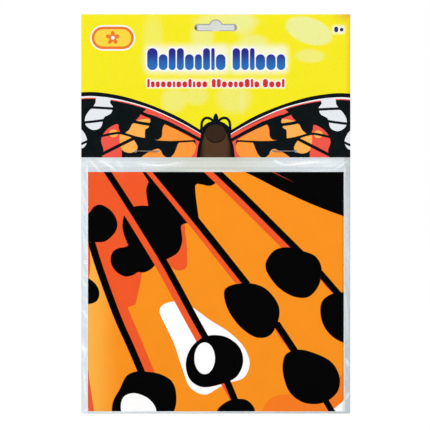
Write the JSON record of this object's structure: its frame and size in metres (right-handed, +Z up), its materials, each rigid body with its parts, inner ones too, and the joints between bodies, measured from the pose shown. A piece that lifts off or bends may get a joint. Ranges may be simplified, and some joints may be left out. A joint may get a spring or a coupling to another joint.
{
  "type": "packed butterfly wings",
  "caption": "Dress-up butterfly wings folded flat in a clear bag under a stapled, printed header card with a hang slot.",
  "frame": {"origin": "top of the hang slot's hump, where a display hook bears, in the middle of the card's thickness", "axes": "+X to the right seen from the front, +Z up, the printed front faces -Y"},
  "size_m": [0.2032, 0.0064, 0.3015],
  "materials": {
    "printed_card": "gloss coated print",
    "clear_film": "clear, glossy, creased",
    "staple_steel": "bright wire",
    "printed_fabric": "printed, soft sheen",
    "body_fabric": "printed, soft sheen",
    "grey_board": "uncoated",
    "elastic": "woven, matte",
    "label_satin": "satin"
  },
  "bodies": {
    "header": {"header_card": "printed_card", "bag_mouth": "clear_film", "staple_left": "staple_steel", "staple_right": "staple_steel"},
    "pouch": {"bag_pouch": "clear_film"},
    "wings": {"right_wing": "printed_fabric", "left_wing": "printed_fabric", "body_panel": "body_fabric", "insert_board": "grey_board", "shoulder_strap_left": "elastic", "shoulder_strap_right": "elastic", "finger_loop_left": "elastic", "finger_loop_right": "elastic", "care_label": "label_satin"}
  },
  "joints": [
    {"name": "header_flex", "type": "hinge", "parent": "header", "child": "pouch", "pos_m": [0, 0, -0.1046], "axis": [1, 0, 0], "range_deg": [-90, 90]},
    {"name": "wings_slide", "type": "slide", "parent": "pouch", "child": "wings", "axis": [0, 0, 1], "range_m": [0, 0.003]}
  ]
}
